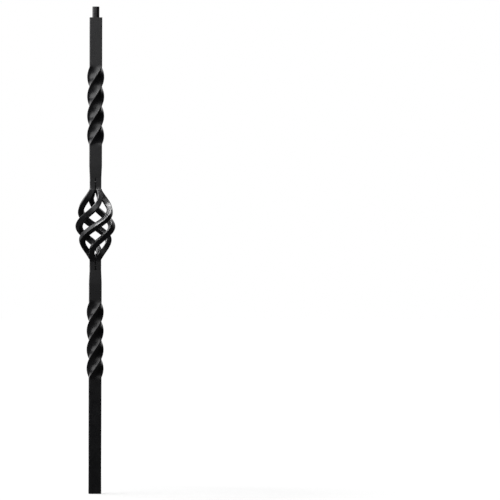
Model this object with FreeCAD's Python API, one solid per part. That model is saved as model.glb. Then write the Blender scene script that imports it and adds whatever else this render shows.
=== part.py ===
import FreeCAD, Part
import math
import os

os.makedirs("parts", exist_ok=True)

# Whole baluster in millimetres: foot centre at the origin, +Z up, front towards -Y
overall_length = 990.6

# Square bar
bar_side = 25.4
bar_edge_bevel = 0.95
end_bevel = 0.8

# Round pin for the handrail
pin_diameter = 14.3
pin_length = 22.2
pin_chamfer = 1.0

# Lengths of the upper bar, from the shoulder down
top_straight = 100.0
upper_twist_length = 158.5
upper_neck = 43.1

# Tapered bar ends that the basket rods are welded to
taper_length = 25.0

# Basket of four square rods
rod_side = 11.3
rod_edge_bevel = 0.7
rod_slit = 0.6
bundle_length = 21.3
basket_height = 144.4
basket_diameter = 77.7
basket_quarter_turns = 3
basket_lead = 11.6
even_turn_share = 0.35
belly_power = 2.35
end_power = 1.3
rod_stations = 20

# Lengths of the lower bar, from the basket down
lower_neck = 40.3
lower_twist_length = 153.0

# Right-hand twist of each bar
twist_quarter_turns = 4
twist_stations = 28

# Largest mismatch between faces that are joined
join_tolerance = 0.001

# Levels along the axis
shoulder_level = overall_length - pin_length
upper_twist_top = shoulder_level - top_straight
upper_twist_base = upper_twist_top - upper_twist_length
upper_taper_top = upper_twist_base - upper_neck
upper_seat = upper_taper_top - taper_length
lower_seat = upper_seat - basket_height - 2 * bundle_length
lower_taper_base = lower_seat - taper_length
lower_twist_top = lower_taper_base - lower_neck
lower_twist_base = lower_twist_top - lower_twist_length
basket_middle = (upper_seat + lower_seat) / 2

# Sizes that follow from the ones above
bundle_side = 2 * rod_side + rod_slit
rod_end_offset = (rod_side + rod_slit) / 2
rod_end_reach = math.sqrt(2) * rod_end_offset
rod_middle_reach = (basket_diameter - rod_side) / 2
basket_turn = 90.0 * basket_quarter_turns
twist_turn = 90.0 * twist_quarter_turns

up = FreeCAD.Vector(0, 0, 1)


# Square outline with its corners bevelled off, centred on the origin
def eased_square(side, edge_bevel):
    half = side / 2
    flat = half - edge_bevel
    corners = []
    for quarter in range(4):
        turn = FreeCAD.Rotation(up, 90 * quarter)
        corners.append(turn.multVec(FreeCAD.Vector(half, -flat, 0)))
        corners.append(turn.multVec(FreeCAD.Vector(half, flat, 0)))
    return Part.makePolygon(corners + corners[:1])


def placed(wire, centre, rotation):
    copy = wire.copy()
    copy.Placement = FreeCAD.Placement(centre, rotation)
    return copy


def square_at(level, side, edge_bevel, angle=0.0):
    centre = FreeCAD.Vector(0, 0, level)
    return placed(eased_square(side, edge_bevel), centre, FreeCAD.Rotation(up, angle))


def straight_bar(base, top):
    face = Part.Face(square_at(base, bar_side, bar_edge_bevel))
    return face.extrude(FreeCAD.Vector(0, 0, top - base))


def twisted_bar(base, top):
    sections = []
    for station in range(twist_stations + 1):
        share = station / twist_stations
        level = base + share * (top - base)
        sections.append(square_at(level, bar_side, bar_edge_bevel, share * twist_turn))
    return Part.makeLoft(sections, True, False)


def tapered_end(bar_level, seat_level):
    wide = square_at(bar_level, bar_side, bar_edge_bevel)
    narrow = square_at(seat_level, bundle_side, rod_edge_bevel)
    return Part.makeLoft([wide, narrow], True, True)


def bevelled_end(bar_level, end_level):
    wide = square_at(bar_level, bar_side, bar_edge_bevel)
    narrow = square_at(end_level, bar_side - 2 * end_bevel, bar_edge_bevel)
    return Part.makeLoft([wide, narrow], True, True)


def handrail_pin():
    radius = pin_diameter / 2
    profile = [
        FreeCAD.Vector(0, 0, shoulder_level - pin_length),
        FreeCAD.Vector(radius, 0, shoulder_level - pin_length),
        FreeCAD.Vector(radius, 0, overall_length - pin_chamfer),
        FreeCAD.Vector(radius - pin_chamfer, 0, overall_length),
        FreeCAD.Vector(0, 0, overall_length),
    ]
    face = Part.Face(Part.makePolygon(profile + profile[:1]))
    return face.revolve(FreeCAD.Vector(0, 0, 0), up, 360)


def joined(solids):
    return solids[0].multiFuse(solids[1:], join_tolerance).removeSplitter()


# Distance of a basket rod from the axis, and its rate, at a height share from -1 to 1
def rod_reach(share):
    opening = rod_middle_reach - rod_end_reach
    hollow = 1 - abs(share) ** belly_power
    hollow_rate = -math.copysign(belly_power * abs(share) ** (belly_power - 1), share)
    reach = rod_end_reach + opening * hollow**end_power
    rate = opening * end_power * hollow ** (end_power - 1) * hollow_rate
    return reach, rate


# Angle of a basket rod round the axis, and its rate, at a height share from -1 to 1
def rod_swing(share, middle_angle):
    quarter = math.pi / 2
    eased_turn_share = 1 - even_turn_share
    turned = eased_turn_share * math.sin(quarter * share) + even_turn_share * share
    turned_rate = eased_turn_share * quarter * math.cos(quarter * share) + even_turn_share
    lead = basket_lead * (1 - share**2) ** 2
    lead_rate = -4 * share * basket_lead * (1 - share**2)
    swing = middle_angle + basket_turn / 2 * turned + lead
    rate = basket_turn / 2 * turned_rate + lead_rate
    return math.radians(swing), math.radians(rate)


# Place and attitude of a basket rod at a height share from -1 at its lower end to 1 at its upper end
def rod_station(share, middle_angle):
    half_height = basket_height / 2
    reach, reach_rate = rod_reach(share)
    swing, swing_rate = rod_swing(share, middle_angle)
    outward = FreeCAD.Vector(math.sin(swing), -math.cos(swing), 0)
    onward = FreeCAD.Vector(math.cos(swing), math.sin(swing), 0)
    centre = outward * reach + up * (basket_middle + share * half_height)
    along = outward * reach_rate + onward * (reach * swing_rate) + up * half_height
    # Both ends stand upright in their bundle
    if abs(share) == 1:
        along = up
    # The rod is bent but hardly twisted, so its section rolls back as the rod goes round
    roll = -45.0 - 90.0 * math.sin(math.pi / 2 * share) - basket_lead * (1 - share**2) ** 2
    across = along.cross(outward)
    square_on = FreeCAD.Rotation(outward, across, along, "ZXY")
    return centre, square_on.multiply(FreeCAD.Rotation(up, roll))


def basket_rod(middle_angle):
    outline = eased_square(rod_side, rod_edge_bevel)
    sections = []
    for station in range(rod_stations + 1):
        share = 2 * station / rod_stations - 1
        centre, attitude = rod_station(share, middle_angle)
        sections.append(placed(outline, centre, attitude))
    bent = Part.makeLoft(sections, True, False)
    lower_end = Part.Face(sections[0]).extrude(FreeCAD.Vector(0, 0, -bundle_length))
    upper_end = Part.Face(sections[-1]).extrude(FreeCAD.Vector(0, 0, bundle_length))
    return joined([bent, lower_end, upper_end])


nodes = {}

# Lower bar: bevelled foot, shank, twist, neck and tapered end
nodes["lower_bar"] = joined([
    bevelled_end(end_bevel, 0.0),
    straight_bar(end_bevel, lower_twist_base),
    twisted_bar(lower_twist_base, lower_twist_top),
    straight_bar(lower_twist_top, lower_taper_base),
    tapered_end(lower_taper_base, lower_seat),
])

# Upper bar: tapered end, neck, twist, straight, bevelled shoulder and pin
nodes["upper_bar"] = joined([
    tapered_end(upper_taper_top, upper_seat),
    straight_bar(upper_taper_top, upper_twist_base),
    twisted_bar(upper_twist_base, upper_twist_top),
    straight_bar(upper_twist_top, shoulder_level - end_bevel),
    bevelled_end(shoulder_level - end_bevel, shoulder_level),
    handrail_pin(),
])

# Basket rods, alike and a quarter turn apart, named by where each one stands at mid-height
left_rod = basket_rod(45.0 - basket_turn / 2)
for order, side_name in enumerate(("left", "front", "right", "back")):
    nodes["basket_rod_" + side_name] = left_rod.rotated(FreeCAD.Vector(0, 0, 0), up, 90.0 * order)

for name, shape in nodes.items():
    shape.exportStep("parts/" + name + ".step")
    print(name, shape.isValid(), len(shape.Solids), round(shape.Volume, 1))
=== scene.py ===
import math

import bpy
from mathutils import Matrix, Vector


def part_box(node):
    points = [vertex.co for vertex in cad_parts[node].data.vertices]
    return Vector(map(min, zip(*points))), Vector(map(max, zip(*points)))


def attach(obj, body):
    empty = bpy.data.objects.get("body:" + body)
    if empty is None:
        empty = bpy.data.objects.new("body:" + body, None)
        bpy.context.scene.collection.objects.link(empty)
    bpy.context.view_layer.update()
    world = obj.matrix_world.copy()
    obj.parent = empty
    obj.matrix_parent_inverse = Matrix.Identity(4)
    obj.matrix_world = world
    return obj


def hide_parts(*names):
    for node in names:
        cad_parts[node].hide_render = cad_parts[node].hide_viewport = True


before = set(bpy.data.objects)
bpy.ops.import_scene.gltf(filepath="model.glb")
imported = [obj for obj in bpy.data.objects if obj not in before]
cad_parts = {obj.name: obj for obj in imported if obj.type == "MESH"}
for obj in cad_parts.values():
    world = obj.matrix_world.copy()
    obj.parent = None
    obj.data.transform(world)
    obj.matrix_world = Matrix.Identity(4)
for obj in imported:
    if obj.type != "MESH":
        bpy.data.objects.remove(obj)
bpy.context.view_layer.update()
mm = 0.001
up = Vector((0, 0, 1))

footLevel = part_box("lower_bar")[0].z
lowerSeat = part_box("lower_bar")[1].z      # where the rods stand on the lower bar
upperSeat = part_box("upper_bar")[0].z      # where they meet the upper bar
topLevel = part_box("upper_bar")[1].z       # end of the pin
basketMiddle = (lowerSeat + upperSeat) / 2
print("frame loaded, length", round(topLevel - footLevel, 4))

meshing = {
    "levelSlack": 0.001 * mm,             # points this close in height are on one level
    "mergeGap": 0.01 * mm,
    "smoothAngle": math.radians(35),
    "rimSteps": 3,
}


def clearSelection():
    if bpy.context.mode != "OBJECT":
        bpy.ops.object.mode_set(mode="OBJECT")
    bpy.ops.object.select_all(action="DESELECT")


def pickEdges(piece, wanted):  # select edges by a test, then stay in edit mode
    if bpy.context.mode != "EDIT_MESH":
        bpy.ops.object.mode_set(mode="EDIT")
    bpy.ops.mesh.select_mode(type="EDGE")
    bpy.ops.mesh.select_all(action="DESELECT")
    bpy.ops.object.mode_set(mode="OBJECT")
    for edge in piece.data.edges:
        edge.select = wanted(edge)
    bpy.ops.object.mode_set(mode="EDIT")


def edgeEnds(piece, edge):
    return [piece.data.vertices[index].co for index in edge.vertices]


def edgeLength(piece, edge):
    start, end = edgeEnds(piece, edge)
    return (end - start).length


def squareOutline(name, stock, level):  # flat square with rounded corners, ready to be drawn out
    clearSelection()
    bpy.ops.mesh.primitive_plane_add(size=stock["side"], location=(0, 0, level))
    piece = bpy.context.active_object
    piece.name = name
    piece.data.name = name
    bpy.ops.object.transform_apply(location=True, rotation=True, scale=True)
    bpy.ops.object.mode_set(mode="EDIT")
    bpy.ops.mesh.bevel(affect="VERTICES", offset=stock["edgeRound"], segments=stock["edgeSteps"])
    pickEdges(piece, lambda edge: edgeLength(piece, edge) > stock["side"] / 2)
    bpy.ops.mesh.subdivide(number_cuts=stock["faceCuts"])
    bpy.ops.mesh.select_mode(type="FACE")
    bpy.ops.mesh.select_all(action="SELECT")
    return piece


def drawOut(rise, ring=None):  # extrude the selected end face upwards, in rings of about the given spacing
    count = 1 if ring is None else max(1, round(rise / ring))
    for step in range(count):
        bpy.ops.mesh.extrude_region_move(TRANSFORM_OT_translate={"value": (0, 0, rise / count)})


def twistOut(rise, turn, ring):  # the same, with every ring turned a little further
    count = round(rise / ring)
    for step in range(count):
        bpy.ops.mesh.extrude_region_move(TRANSFORM_OT_translate={"value": (0, 0, rise / count)})
        bpy.ops.transform.rotate(value=-turn / count, orient_axis="Z", center_override=(0, 0, 0))


def widen(share):
    bpy.ops.transform.resize(value=(share, share, 1), center_override=(0, 0, 0))


def roundRim(piece, level, offset, innerReach=0.0):  # bevel an end face where it is further out
    def onRim(edge):
        ends = edgeEnds(piece, edge)
        return all(abs(end.z - level) < meshing["levelSlack"] and end.xy.length > innerReach for end in ends)

    pickEdges(piece, onRim)
    bpy.ops.mesh.bevel(affect="EDGES", offset=offset, segments=meshing["rimSteps"])


def closeUp(piece):  # merge doubles, turn the faces outwards and shade smoothly up to the real edges
    if bpy.context.mode != "EDIT_MESH":
        bpy.ops.object.mode_set(mode="EDIT")
    bpy.ops.mesh.select_all(action="SELECT")
    bpy.ops.mesh.remove_doubles(threshold=meshing["mergeGap"])
    bpy.ops.mesh.normals_make_consistent(inside=False)
    bpy.ops.object.mode_set(mode="OBJECT")
    bpy.ops.object.shade_smooth_by_angle(angle=meshing["smoothAngle"])


bar = {
    "side": 25.4 * mm,
    "edgeRound": 1.6 * mm,
    "edgeSteps": 5,
    "faceCuts": 9,
    "endBevel": 0.8 * mm,
    "taperLength": 25.0 * mm,
    "twistTurn": math.radians(360),       # right-hand
    "twistRing": 1.6 * mm,
    "plainRing": 5.0 * mm,
}

rod = {
    "side": 11.3 * mm,
    "edgeRound": 1.2 * mm,
    "edgeSteps": 4,
    "faceCuts": 5,
    "slit": 0.6 * mm,
    "bundleLength": 21.3 * mm,
    "basketDiameter": 77.7 * mm,
    "turn": math.radians(270),
    "lead": math.radians(11.6),           # how far the rods are ahead at mid-height
    "evenTurn": 0.35,                     # share of the turn that is even from end to end
    "belly": 2.35,
    "endPower": 1.3,
    "kink": 0.06,                         # height share in which a rod leans over out of the bundle
    "ring": 1.6 * mm,
    "bundleRing": 4.8 * mm,
}
bundleSide = 2 * rod["side"] + rod["slit"]
taperShare = bundleSide / bar["side"]
halfBasket = (upperSeat - lowerSeat) / 2 - rod["bundleLength"]

lowerBar = {"neck": 40.3 * mm, "twist": 153.0 * mm}


def makeLowerBar():
    piece = squareOutline("lowerBar", bar, footLevel)
    twistTop = lowerSeat - bar["taperLength"] - lowerBar["neck"]
    twistBase = twistTop - lowerBar["twist"]
    drawOut(twistBase - footLevel, bar["plainRing"])
    twistOut(lowerBar["twist"], bar["twistTurn"], bar["twistRing"])
    drawOut(lowerBar["neck"], bar["plainRing"])
    drawOut(bar["taperLength"])
    widen(taperShare)
    roundRim(piece, footLevel, bar["endBevel"])
    closeUp(piece)
    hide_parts("lower_bar")
    return piece


upperBar = {"neck": 43.1 * mm, "twist": 158.5 * mm, "topStraight": 100.0 * mm}
pin = {"diameter": 14.3 * mm, "length": 22.2 * mm, "chamfer": 1.0 * mm}


def makeUpperBar():
    piece = squareOutline("upperBar", bar, upperSeat)
    shoulder = topLevel - pin["length"]
    widen(taperShare)
    drawOut(bar["taperLength"])
    widen(1 / taperShare)
    drawOut(upperBar["neck"], bar["plainRing"])
    twistOut(upperBar["twist"], bar["twistTurn"], bar["twistRing"])
    drawOut(upperBar["topStraight"], bar["plainRing"])
    bpy.ops.mesh.extrude_region_move()    # the shoulder, drawn in to the pin
    bpy.ops.transform.tosphere(value=1)
    bpy.ops.object.mode_set(mode="OBJECT")
    ring = [corner.co.xy.length for corner in piece.data.vertices if corner.select]
    bpy.ops.object.mode_set(mode="EDIT")
    widen(pin["diameter"] / 2 * len(ring) / sum(ring))
    drawOut(pin["length"])
    roundRim(piece, topLevel, pin["chamfer"])
    roundRim(piece, shoulder, bar["endBevel"], bar["side"] / 2 - bar["endBevel"])
    closeUp(piece)
    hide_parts("upper_bar")
    return piece


def rodReach(share):  # distance from the axis, and its rate, at a height share from -1 to 1
    endReach = math.sqrt(2) * (rod["side"] + rod["slit"]) / 2
    opening = (rod["basketDiameter"] - rod["side"]) / 2 - endReach
    hollow = 1 - abs(share) ** rod["belly"]
    hollowRate = -math.copysign(rod["belly"] * abs(share) ** (rod["belly"] - 1), share)
    rate = opening * rod["endPower"] * hollow ** (rod["endPower"] - 1) * hollowRate
    return endReach + opening * hollow ** rod["endPower"], rate


def rodSwing(share, middleAngle):  # angle round the axis, and its rate
    quarter = math.pi / 2
    eased = 1 - rod["evenTurn"]
    turned = eased * math.sin(quarter * share) + rod["evenTurn"] * share
    turnedRate = eased * quarter * math.cos(quarter * share) + rod["evenTurn"]
    swing = middleAngle + rod["turn"] / 2 * turned + rod["lead"] * (1 - share**2) ** 2
    return swing, rod["turn"] / 2 * turnedRate - 4 * share * rod["lead"] * (1 - share**2)


def rodRoll(share):  # the section rolls back as the rod goes round, faster below mid-height than above
    quarter = math.pi / 2
    rolled = share + (math.sin(quarter * share) - share) * (1 - share) / 2
    return -quarter / 2 - quarter * rolled - rod["lead"] * (1 - share**2) ** 2


def rodStation(share, middleAngle):  # place and attitude of the section
    reach, reachRate = rodReach(share)
    swing, swingRate = rodSwing(share, middleAngle)
    outward = Vector((math.sin(swing), -math.cos(swing), 0))
    onward = Vector((math.cos(swing), math.sin(swing), 0))
    centre = outward * reach + up * (basketMiddle + share * halfBasket)
    along = outward * reachRate + onward * (reach * swingRate) + up * halfBasket
    along = up.lerp(along.normalized(), min(1, (1 - abs(share)) / rod["kink"])).normalized()
    facing = (outward - along * outward.dot(along)).normalized()
    sideways = along.cross(facing)
    roll = rodRoll(share)
    axisA = facing * math.cos(roll) + sideways * math.sin(roll)
    axisB = sideways * math.cos(roll) - facing * math.sin(roll)
    return centre, axisA, axisB


def makeRod(name, node, middleAngle):
    piece = squareOutline(name, rod, lowerSeat)
    drawOut(rod["bundleLength"], rod["bundleRing"])
    drawOut(2 * halfBasket, rod["ring"])
    drawOut(rod["bundleLength"], rod["bundleRing"])
    bpy.ops.object.mode_set(mode="OBJECT")
    for corner in piece.data.vertices:    # bend the straight blank to the basket
        height = corner.co.z - basketMiddle
        share = max(-1.0, min(1.0, height / halfBasket))
        centre, axisA, axisB = rodStation(share, middleAngle)
        spare = height - share * halfBasket
        corner.co = centre + axisA * corner.co.x + axisB * corner.co.y + up * spare
    closeUp(piece)
    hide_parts(node)
    return piece


pieces = [makeLowerBar(), makeUpperBar()]
print("bars drawn out and twisted")

rodNames = ("Left", "Front", "Right", "Back")
for order, rodName in enumerate(rodNames):
    middleAngle = math.radians(90 * (order - 1))
    pieces.append(makeRod("basketRod" + rodName, "basket_rod_" + rodName.lower(), middleAngle))
print("basket rods bent")

weld = {
    "rootWidth": 15.0 * mm,               # run in between the rods where they part
    "upperRoot": (611.4 * mm, 624.0 * mm),
    "lowerRoot": (472.0 * mm, 488.6 * mm),
    "tackWidth": 4.6 * mm,                # across the slit on each face of a bundle
    "tackHeight": 3.4 * mm,
    "tackProud": 0.5 * mm,
    "tackDepth": 12.7 * mm,               # from where the rods part
    "runShare": 0.84,                     # height share of the bead down the inside of each rod
    "runStep": 0.02,                      # height share over which its slope is taken
    "runWidth": 6.0 * mm,
    "runLength": 22.0 * mm,
    "runInset": 8.2 * mm,                 # from the rod's axis towards the basket's
    "coreWidth": 2.4 * mm,                # keeps light from coming through a bundle's slits
    "beadSides": 28,
    "beadRings": 16,
}


def addBead(centre, size, slope=(0, 0, 0)):  # a ball one across, drawn to its size in the mesh being edited
    bpy.ops.mesh.primitive_uv_sphere_add(
        segments=weld["beadSides"], ring_count=weld["beadRings"], radius=0.5,
        location=centre, rotation=slope, scale=size)


def addRoots():
    for low, high in (weld["lowerRoot"], weld["upperRoot"]):
        addBead((0, 0, footLevel + (low + high) / 2), (weld["rootWidth"], weld["rootWidth"], high - low))


def addRuns():
    steps = (-weld["runStep"], 0, weld["runStep"])
    for order in range(4):
        middleAngle = math.radians(90 * order)
        below, here, above = [rodStation(weld["runShare"] + step, middleAngle)[0] for step in steps]
        inward = Vector((-here.x, -here.y, 0)).normalized()
        slope = (above - below).to_track_quat("Z", "Y").to_euler()
        size = (weld["runWidth"], weld["runWidth"], weld["runLength"])
        addBead(here + inward * weld["runInset"], size, slope)


def addCores():
    for level in (lowerSeat + rod["bundleLength"] / 2, upperSeat - rod["bundleLength"] / 2):
        bpy.ops.mesh.primitive_cube_add(size=1, location=(0, 0, level))
        core = (weld["coreWidth"], weld["coreWidth"], rod["bundleLength"])
        bpy.ops.transform.resize(value=core, center_override=(0, 0, level))


def addTacks():
    face = bundleSide / 2
    width, proud, height = weld["tackWidth"], 2 * weld["tackProud"], weld["tackHeight"]
    fromPart = rod["bundleLength"] - weld["tackDepth"]
    for level in (lowerSeat + fromPart, upperSeat - fromPart):
        for side in (-1, 1):
            addBead((0, side * face, level), (width, proud, height))
            addBead((side * face, 0, level), (proud, width, height))


def makeWelds():
    clearSelection()
    bpy.ops.mesh.primitive_plane_add(size=mm)
    piece = bpy.context.active_object
    piece.name = "welds"
    piece.data.name = "welds"
    bpy.ops.object.mode_set(mode="EDIT")
    bpy.ops.mesh.delete(type="VERT")      # an empty mesh for the beads
    addRoots()
    addRuns()
    addCores()
    addTacks()
    closeUp(piece)
    return piece


pieces.append(makeWelds())
print("welds run in")

coat = {
    "deepColour": (0.0050, 0.0050, 0.0058, 1),
    "paleColour": (0.0088, 0.0087, 0.0098, 1),
    "cloudSize": 45 * mm,
    "cloudSpan": (0.32, 0.68),
    "waveSize": 14 * mm,                  # slight unevenness of the iron under the powder
    "waveSpan": (0.3, 0.7),
    "waveHeight": 0.03 * mm,
    "peelSize": 1.3 * mm,                 # orange peel of the baked powder
    "peelHeight": 0.003 * mm,
    "grainSize": 4 * mm,
    "grainSpan": (0.35, 0.65),
    "roughness": (0.25, 0.35),
    "grainRoughness": (-0.02, 0.03),      # added to it
    "pitSpacing": 16 * mm,                # of the cells that may hold a pit or a speck
    "pitRim": (0.022, 0.045),             # in cells
    "pitDraw": (0.70, 0.72),              # a cell that draws more has a pit
    "pitDepth": 0.12 * mm,
    "speckDraw": (0.86, 0.88),
    "speckColour": (0.045, 0.044, 0.045, 1),
    "shortEdge": 0.8 * mm,                # mesh edges shorter than this are on rounded edges
    "wearBreaks": (0.44, 0.66),           # wear is broken up along the edge
    "wearStart": 0.35,
    "wearDepth": 0.75,
    "wearPolish": 0.06,
    "wornColour": (0.030, 0.029, 0.030, 1),
}


def markEdges(piece):  # a number on each point: 1 on rounded edges, else 0
    edgeWear = piece.data.attributes.new("edgeWear", "FLOAT", "POINT")
    for edge in piece.data.edges:
        if edgeLength(piece, edge) < coat["shortEdge"]:
            for index in edge.vertices:
                edgeWear.data[index].value = 1


def feed(tree, value, socket):  # a constant is set on the socket, anything else is linked to it
    if isinstance(value, (int, float, tuple)):
        socket.default_value = value
    else:
        tree.links.new(value, socket)


def noiseNode(tree, place, size, detail):
    noise = tree.nodes.new("ShaderNodeTexNoise")
    noise.inputs["Scale"].default_value = 1 / size
    noise.inputs["Detail"].default_value = detail
    tree.links.new(place, noise.inputs["Vector"])
    return noise.outputs["Fac"]


def rangeNode(tree, source, span, target):
    node = tree.nodes.new("ShaderNodeMapRange")
    node.inputs["From Min"].default_value = span[0]
    node.inputs["From Max"].default_value = span[1]
    node.inputs["To Min"].default_value = target[0]
    node.inputs["To Max"].default_value = target[1]
    tree.links.new(source, node.inputs["Value"])
    return node.outputs["Result"]


def mathNode(tree, operation, first, second):
    node = tree.nodes.new("ShaderNodeMath")
    node.operation = operation
    feed(tree, first, node.inputs[0])
    feed(tree, second, node.inputs[1])
    return node.outputs[0]


def blendNode(tree, factor, first, second, kind="RGBA"):  # colours, or numbers with kind VALUE
    node = tree.nodes.new("ShaderNodeMix")
    node.data_type = "RGBA" if kind == "RGBA" else "FLOAT"
    tree.links.new(factor, node.inputs["Factor"])
    for name, value in (("A", first), ("B", second)):
        matching = [socket for socket in node.inputs if socket.name == name and socket.type == kind]
        feed(tree, value, matching[0])
    return [socket for socket in node.outputs if socket.type == kind][0]


def pitsAndSpecks(tree, place):  # a few in the powder
    cells = tree.nodes.new("ShaderNodeTexVoronoi")
    cells.inputs["Scale"].default_value = 1 / coat["pitSpacing"]
    tree.links.new(place, cells.inputs["Vector"])
    draws = tree.nodes.new("ShaderNodeSeparateColor")
    tree.links.new(cells.outputs["Color"], draws.inputs["Color"])
    dot = rangeNode(tree, cells.outputs["Distance"], coat["pitRim"], (1, 0))
    hasPit = rangeNode(tree, draws.outputs["Red"], coat["pitDraw"], (0, 1))
    hasSpeck = rangeNode(tree, draws.outputs["Green"], coat["speckDraw"], (0, 1))
    return mathNode(tree, "MULTIPLY", dot, hasPit), mathNode(tree, "MULTIPLY", dot, hasSpeck)


def edgeRubbing(tree, grain):
    edge = tree.nodes.new("ShaderNodeAttribute")
    edge.attribute_name = "edgeWear"
    rubbed = rangeNode(tree, grain, coat["wearBreaks"], (0, 1))
    worn = rangeNode(tree, edge.outputs["Fac"], (coat["wearStart"], 1), (0, coat["wearDepth"]))
    return mathNode(tree, "MULTIPLY", worn, rubbed)


def blackCoat():
    material = bpy.data.materials.new("blackCoat")
    material.use_nodes = True
    tree = material.node_tree
    shader = tree.nodes["Principled BSDF"]
    place = tree.nodes.new("ShaderNodeTexCoord").outputs["Object"]

    clouds = noiseNode(tree, place, coat["cloudSize"], detail=4)
    peel = noiseNode(tree, place, coat["peelSize"], detail=2)
    waves = noiseNode(tree, place, coat["waveSize"], detail=3)
    grain = noiseNode(tree, place, coat["grainSize"], detail=5)
    pits, specks = pitsAndSpecks(tree, place)
    wear = edgeRubbing(tree, grain)

    cloudy = rangeNode(tree, clouds, coat["cloudSpan"], (0, 1))
    tone = blendNode(tree, cloudy, coat["deepColour"], coat["paleColour"])
    tone = blendNode(tree, wear, tone, coat["wornColour"])
    tone = blendNode(tree, specks, tone, coat["speckColour"])
    tree.links.new(tone, shader.inputs["Base Color"])

    rough = rangeNode(tree, waves, coat["waveSpan"], coat["roughness"])
    rough = mathNode(tree, "ADD", rough, rangeNode(tree, grain, coat["grainSpan"], coat["grainRoughness"]))
    rough = mathNode(tree, "SUBTRACT", rough, mathNode(tree, "MULTIPLY", wear, coat["wearPolish"]))
    tree.links.new(rough, shader.inputs["Roughness"])

    waveRelief = mathNode(tree, "MULTIPLY", waves, coat["waveHeight"] / mm)
    peelRelief = mathNode(tree, "MULTIPLY", peel, coat["peelHeight"] / mm)
    pitRelief = mathNode(tree, "MULTIPLY", pits, coat["pitDepth"] / mm)
    relief = mathNode(tree, "SUBTRACT", mathNode(tree, "ADD", waveRelief, peelRelief), pitRelief)
    bump = tree.nodes.new("ShaderNodeBump")
    bump.inputs["Strength"].default_value = 1
    bump.inputs["Distance"].default_value = mm      # the relief is in millimetres
    tree.links.new(relief, bump.inputs["Height"])
    tree.links.new(bump.outputs["Normal"], shader.inputs["Normal"])
    return material


coatMaterial = blackCoat()
for piece in pieces:
    if piece.name != "welds":             # nothing rubs along the beads
        markEdges(piece)
    piece.data.materials.clear()
    piece.data.materials.append(coatMaterial)
    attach(piece, "root")
print("coat laid on", len(pieces), "pieces")

studio = {
    "floorSize": 60.0,
    "floorColour": (0.16, 0.16, 0.16, 1),
    "bounceColour": (0.03, 0.03, 0.03, 1),    # the floor as it lights the object
    "floorGlow": (0.62, 1.0),             # near and far: the foot's shadow keeps some room
    "glowReach": (0.4, 1.6),
    "ambient": 0.08,
    "reflectedGlow": (0.02, 1.0),         # dim on the camera's side, white behind the object
    "reflectedSpan": (0.55, 0.9),
}


def makeFloor():
    clearSelection()
    bpy.ops.mesh.primitive_plane_add(size=studio["floorSize"], location=(0, 0, footLevel))
    floor = bpy.context.active_object
    floor.name = "floor"
    material = bpy.data.materials.new("paleFloor")
    material.use_nodes = True
    tree = material.node_tree
    nodes, links = tree.nodes, tree.links
    nodes.clear()
    paint = nodes.new("ShaderNodeBsdfDiffuse")
    paint.inputs["Color"].default_value = studio["floorColour"]
    bounce = nodes.new("ShaderNodeBsdfDiffuse")
    bounce.inputs["Color"].default_value = studio["bounceColour"]
    away = nodes.new("ShaderNodeVectorMath")
    away.operation = "LENGTH"
    links.new(nodes.new("ShaderNodeTexCoord").outputs["Object"], away.inputs[0])
    glow = nodes.new("ShaderNodeEmission")
    strength = rangeNode(tree, away.outputs["Value"], studio["glowReach"], studio["floorGlow"])
    links.new(strength, glow.inputs["Strength"])
    both = nodes.new("ShaderNodeAddShader")
    links.new(paint.outputs[0], both.inputs[0])
    links.new(glow.outputs[0], both.inputs[1])
    switch = nodes.new("ShaderNodeMixShader")
    links.new(nodes.new("ShaderNodeLightPath").outputs["Is Camera Ray"], switch.inputs[0])
    links.new(bounce.outputs[0], switch.inputs[1])
    links.new(both.outputs[0], switch.inputs[2])
    output = nodes.new("ShaderNodeOutputMaterial")
    links.new(switch.outputs[0], output.inputs["Surface"])
    floor.data.materials.append(material)


def makeWorld():
    world = bpy.data.worlds.new("studio")
    bpy.context.scene.world = world
    world.use_nodes = True
    tree = world.node_tree
    nodes, links = tree.nodes, tree.links
    nodes.clear()
    rays = nodes.new("ShaderNodeLightPath").outputs
    direction = nodes.new("ShaderNodeSeparateXYZ")
    links.new(nodes.new("ShaderNodeTexCoord").outputs["Generated"], direction.inputs[0])
    backdrop = rangeNode(tree, direction.outputs["Y"], studio["reflectedSpan"], studio["reflectedGlow"])
    shiny = mathNode(tree, "MAXIMUM", rays["Is Glossy Ray"], rays["Is Transmission Ray"])
    soft = blendNode(tree, shiny, studio["ambient"], backdrop, "VALUE")
    seen = blendNode(tree, rays["Is Camera Ray"], soft, 1.0, "VALUE")
    sky = nodes.new("ShaderNodeBackground")
    sky.inputs["Color"].default_value = (1, 1, 1, 1)
    links.new(seen, sky.inputs["Strength"])
    output = nodes.new("ShaderNodeOutputWorld")
    links.new(sky.outputs[0], output.inputs["Surface"])


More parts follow.
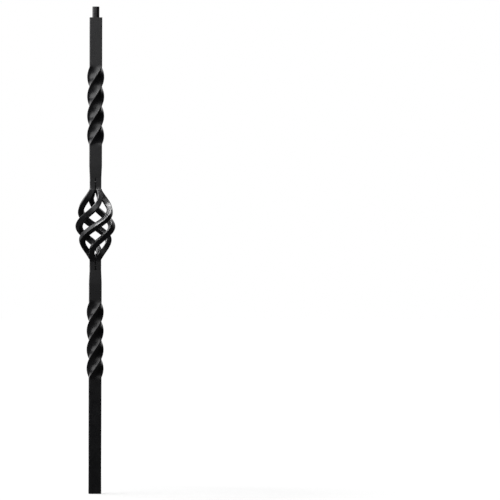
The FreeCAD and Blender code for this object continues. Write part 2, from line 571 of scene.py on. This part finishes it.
lamps = {
    "keyLamp": {"place": (-0.42, -1.16, 1.58), "aim": (0, 0, 0.72), "size": (1.5, 0.8), "power": 7.6},
    "leftLamp": {"place": (-1.36, -0.12, 1.22), "aim": (0, 0, 0.62), "size": (1.3, 1.5), "power": 13.8},
    "frontLamp": {"place": (0, -1.47, 0.96), "aim": (0, 0, 0.72), "size": (0.8, 1.1), "power": 1.6},
    "topLamp": {"place": (-0.42, 0.06, 2.10), "aim": (0, 0, 0.60), "size": (1.5, 0.9), "power": 112},
}


def makeLamp(name, setting):
    clearSelection()
    bpy.ops.object.light_add(type="AREA", location=setting["place"])
    lamp = bpy.context.active_object
    lamp.name = name
    lamp.data.shape = "RECTANGLE"
    lamp.data.size, lamp.data.size_y = setting["size"]
    lamp.data.energy = setting["power"]
    beam = Vector(setting["aim"]) - Vector(setting["place"])
    lamp.rotation_euler = beam.to_track_quat("-Z", "Y").to_euler()
    lamp.visible_camera = False


makeFloor()
makeWorld()
for lampName, setting in lamps.items():
    makeLamp(lampName, setting)
print("studio lit")

photoFrame = {
    "pixels": 500,
    "metresPerPixel": 2.0337 * mm,
    "axisColumn": 95.29,
    "footRow": 494.06,
    "distance": 12.0,
    "turn": math.radians(-2),             # a little from the left
    "lean": math.radians(0.134),          # the photo stands a little askew
    "sensor": 36,
}


def makeCamera():
    half = photoFrame["pixels"] / 2
    scale = photoFrame["metresPerPixel"]
    turn = photoFrame["turn"]
    distance = photoFrame["distance"]
    level = footLevel + (photoFrame["footRow"] - half) * scale
    aside = math.atan2((half - photoFrame["axisColumn"]) * scale, distance)
    clearSelection()
    bpy.ops.object.camera_add(location=(distance * math.sin(turn), -distance * math.cos(turn), level))
    camera = bpy.context.active_object
    camera.name = "camera"
    camera.rotation_euler = (math.radians(90), 0, turn - aside)
    camera.rotation_euler.rotate_axis("Z", photoFrame["lean"])
    camera.data.sensor_width = photoFrame["sensor"]
    camera.data.lens = photoFrame["sensor"] * distance * math.cos(aside) / (photoFrame["pixels"] * scale)
    camera.data.dof.use_dof = False
    bpy.context.scene.camera = camera


makeCamera()
bpy.context.scene.view_settings.view_transform = "Standard"
